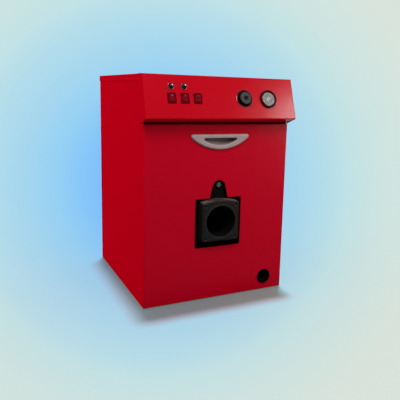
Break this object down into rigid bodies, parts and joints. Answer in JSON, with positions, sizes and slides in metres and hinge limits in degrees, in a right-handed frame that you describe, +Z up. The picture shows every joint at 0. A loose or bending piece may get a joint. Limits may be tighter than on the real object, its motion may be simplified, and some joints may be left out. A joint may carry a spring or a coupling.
{
  "type": "floor standing hot water boiler with a burner port",
  "caption": "Floor standing hot water boiler in a red steel cabinet with a sloping control hood, half-moon handle, burner port, flue collar and pipe sockets.",
  "frame": {"origin": "on the floor, in the middle of the cabinet's footprint", "axes": "+X to the cabinet's right as seen from the front, +Y towards the back, +Z up; the front faces -Y"},
  "size_m": [0.5112, 0.638, 0.72],
  "materials": {
    "red_enamel": "semi-gloss enamel over folded steel sheet",
    "dark_paint": "satin",
    "drum_steel": "dull rolled steel, scaled by welding",
    "mineral_wool": "matt fibre blanket",
    "black_casting": "fine sand-cast skin under heat-proof black paint",
    "zinc_bolts": "zinc plated",
    "bright_ring": "polished",
    "dark_lens": "clear gloss over dark",
    "switch_black": "satin",
    "rocker_red": "translucent gloss",
    "knob_black": "satin",
    "dial_grey": "matt",
    "pointer_dark": "matt",
    "clear_glass": "clear",
    "handle_grey": "fine satin grain",
    "black_rubber": "matt"
  },
  "bodies": {
    "cabinet": {"base_tray": "dark_paint", "left_side_panel": "red_enamel", "right_side_panel": "red_enamel", "back_panel": "red_enamel", "top_lid": "red_enamel", "front_rail": "red_enamel", "control_hood": "red_enamel", "left_hood_cheek": "red_enamel", "right_hood_cheek": "red_enamel", "water_drum": "drum_steel", "drum_front_plate": "drum_steel", "drum_rear_plate": "drum_steel", "fire_tube": "drum_steel", "front_saddle": "dark_paint", "rear_saddle": "dark_paint", "insulation_jacket": "mineral_wool", "burner_door": "black_casting", "burner_door_bolts": "zinc_bolts", "burner_flange": "black_casting", "burner_casting": "black_casting", "lug_bolt": "zinc_bolts", "flue_collar": "drum_steel", "flow_socket": "drum_steel", "return_socket": "drum_steel", "drain_socket": "drum_steel", "left_lamp_ring": "bright_ring", "left_lamp_lens": "dark_lens", "right_lamp_ring": "bright_ring", "right_lamp_lens": "dark_lens", "switch_1_frame": "switch_black", "switch_2_frame": "switch_black", "switch_3_frame": "switch_black", "thermostat": "bright_ring", "gauge_case": "knob_black", "gauge_dial": "dial_grey", "gauge_pointer": "pointer_dark", "gauge_glass": "clear_glass"},
    "front_panel": {"front_panel": "red_enamel", "handle_trim": "handle_grey", "handle_cup": "handle_grey", "cable_grommet": "black_rubber"},
    "thermostat_knob": {"thermostat_knob": "knob_black"},
    "switch_1_rocker": {"switch_1_rocker": "rocker_red"},
    "switch_2_rocker": {"switch_2_rocker": "rocker_red"},
    "switch_3_rocker": {"switch_3_rocker": "rocker_red"}
  },
  "joints": [
    {"name": "front_panel_pull", "type": "slide", "parent": "cabinet", "child": "front_panel", "axis": [0, -1, 0], "range_m": [0, 0.15]},
    {"name": "thermostat_turn", "type": "hinge", "parent": "cabinet", "child": "thermostat_knob", "pos_m": [0.071, -0.28817, 0.6539], "axis": [0, -0.9523, 0.305], "range_deg": [-135, 135]},
    {"name": "switch_1_rock", "type": "hinge", "parent": "cabinet", "child": "switch_1_rocker", "pos_m": [-0.171, -0.28655, 0.65076], "axis": [-1, 0, 0], "range_deg": [0, 16]},
    {"name": "switch_2_rock", "type": "hinge", "parent": "cabinet", "child": "switch_2_rocker", "pos_m": [-0.1295, -0.28655, 0.65076], "axis": [-1, 0, 0], "range_deg": [0, 16]},
    {"name": "switch_3_rock", "type": "hinge", "parent": "cabinet", "child": "switch_3_rocker", "pos_m": [-0.088, -0.28655, 0.65076], "axis": [-1, 0, 0], "range_deg": [0, 16]}
  ]
}
